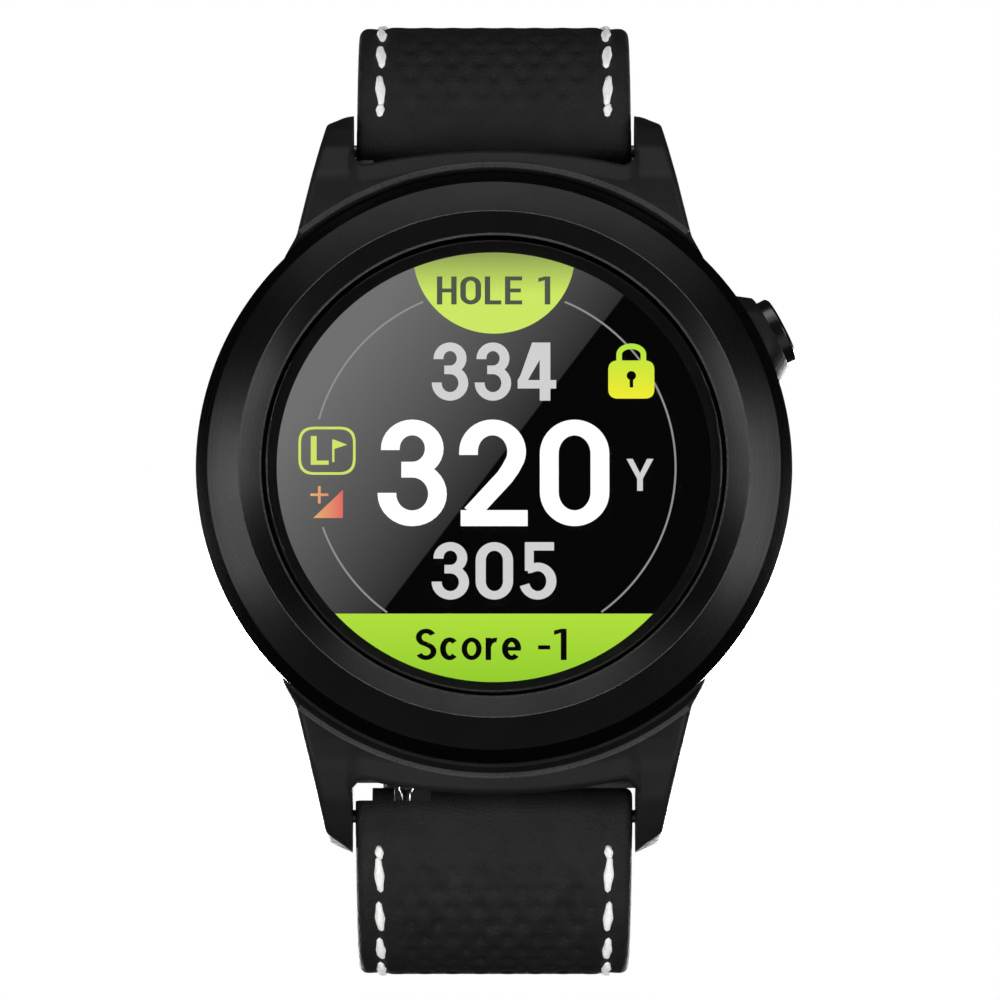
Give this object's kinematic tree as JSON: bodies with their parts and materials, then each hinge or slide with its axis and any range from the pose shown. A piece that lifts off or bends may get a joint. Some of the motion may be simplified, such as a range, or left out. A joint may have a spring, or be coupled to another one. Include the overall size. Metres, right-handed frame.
{
  "type": "golf gps watch",
  "caption": "Round GPS watch for golf with a ridged black bezel, lit distance screen, one pusher, sloping lugs and a stitched two-piece strap with a pin buckle.",
  "frame": {"origin": "centre of the case back's flat outer face, which rests on the wrist", "axes": "+Y out of the case back toward the wrist, so the dial faces -Y; +Z toward 12 o'clock; +X toward 3 o'clock, the pusher's side"},
  "size_m": [0.0465, 0.1051, 0.0746],
  "materials": {
    "case_resin": "fine matte, moulded fibre-filled resin, almost black",
    "bezel_metal": "satin black coated metal with turned faces and a crisp ridge",
    "pusher_metal": "satin black coated metal",
    "glass": "clear cover glass with a black printed border",
    "display": "lit round display",
    "rubber": "matte black seal rubber",
    "steel": "fine brushed stainless steel",
    "back_resin": "satin black moulded resin",
    "inner_resin": "dark moulded resin",
    "circuit_board": "green solder mask",
    "cell_film": "silver laminate pouch",
    "ceramic": "fired ceramic patch",
    "gold": "gold plated",
    "copper_flex": "amber polyimide flex",
    "strap_skin": "soft matte black leather-like skin, dimpled middle and white stitching",
    "strap_backing": "smooth matte black lining",
    "buckle_metal": "satin black coated steel"
  },
  "bodies": {
    "watch": {"case_body": "case_resin", "bezel": "bezel_metal", "bezel_gasket": "rubber", "lens": "glass", "lens_gasket": "rubber", "display_panel": "display", "display_flex": "copper_flex", "inner_frame": "inner_resin", "main_board": "circuit_board", "battery": "cell_film", "battery_connector": "inner_resin", "gps_antenna": "ceramic", "shield_can": "steel", "vibration_motor": "steel", "buzzer": "inner_resin", "tact_switch": "steel", "contact_carrier": "inner_resin", "case_back": "back_resin", "case_back_gasket": "rubber", "case_back_screw_1": "steel", "case_back_screw_2": "steel", "case_back_screw_3": "steel", "case_back_screw_4": "steel", "charge_contact_1": "gold", "charge_contact_2": "gold", "charge_contact_3": "gold", "charge_contact_4": "gold", "pusher_spring": "steel"},
    "pusher": {"pusher_cap": "pusher_metal", "pusher_stem": "steel", "pusher_clip": "steel", "pusher_oring": "rubber"},
    "strap_12": {"strap_12_skin": "strap_skin", "strap_12_lining": "strap_backing", "spring_bar_12": "steel", "bar_spring_12": "steel", "fixed_keeper": "strap_skin"},
    "release_12": {"release_pin_12": "steel"},
    "strap_6": {"strap_6_skin": "strap_skin", "strap_6_lining": "strap_backing", "spring_bar_6": "steel", "bar_spring_6": "steel"},
    "release_6": {"release_pin_6": "steel"},
    "keeper": {"free_keeper": "strap_skin"},
    "buckle": {"buckle_frame": "buckle_metal", "buckle_bar": "steel"},
    "tongue": {"buckle_tongue": "buckle_metal"}
  },
  "joints": [
    {"name": "pusher_press", "type": "slide", "parent": "watch", "child": "pusher", "axis": [-0.8878, 0, -0.4602], "range_m": [0, 0.0008], "stiffness_N_per_m": 2000, "springref_m": -0.0005, "deforming": ["pusher_spring"]},
    {"name": "strap_12_swing", "type": "hinge", "parent": "watch", "child": "strap_12", "pos_m": [0, -0.0026, 0.0261], "axis": [1, 0, 0], "range_deg": [-8, 55]},
    {"name": "strap_6_swing", "type": "hinge", "parent": "watch", "child": "strap_6", "pos_m": [0, -0.0026, -0.0261], "axis": [-1, 0, 0], "range_deg": [-8, 55]},
    {"name": "release_12_slide", "type": "slide", "parent": "strap_12", "child": "release_12", "axis": [1, 0, 0], "range_m": [0, 0.0011], "stiffness_N_per_m": 800, "springref_m": -0.0008, "deforming": ["bar_spring_12"]},
    {"name": "release_6_slide", "type": "slide", "parent": "strap_6", "child": "release_6", "axis": [1, 0, 0], "range_m": [0, 0.0011], "stiffness_N_per_m": 800, "springref_m": -0.0008, "deforming": ["bar_spring_6"]},
    {"name": "keeper_slide", "type": "slide", "parent": "strap_12", "child": "keeper", "axis": [0, 0.9421, -0.3354], "range_m": [-0.005, 0.005]},
    {"name": "buckle_swing", "type": "hinge", "parent": "strap_12", "child": "buckle", "pos_m": [0, 0.06048, 0.01891], "axis": [1, 0, 0], "range_deg": [-45, 45]},
    {"name": "tongue_swing", "type": "hinge", "parent": "buckle", "child": "tongue", "pos_m": [0, 0.06048, 0.01891], "axis": [1, 0, 0], "range_deg": [0, 75]}
  ]
}
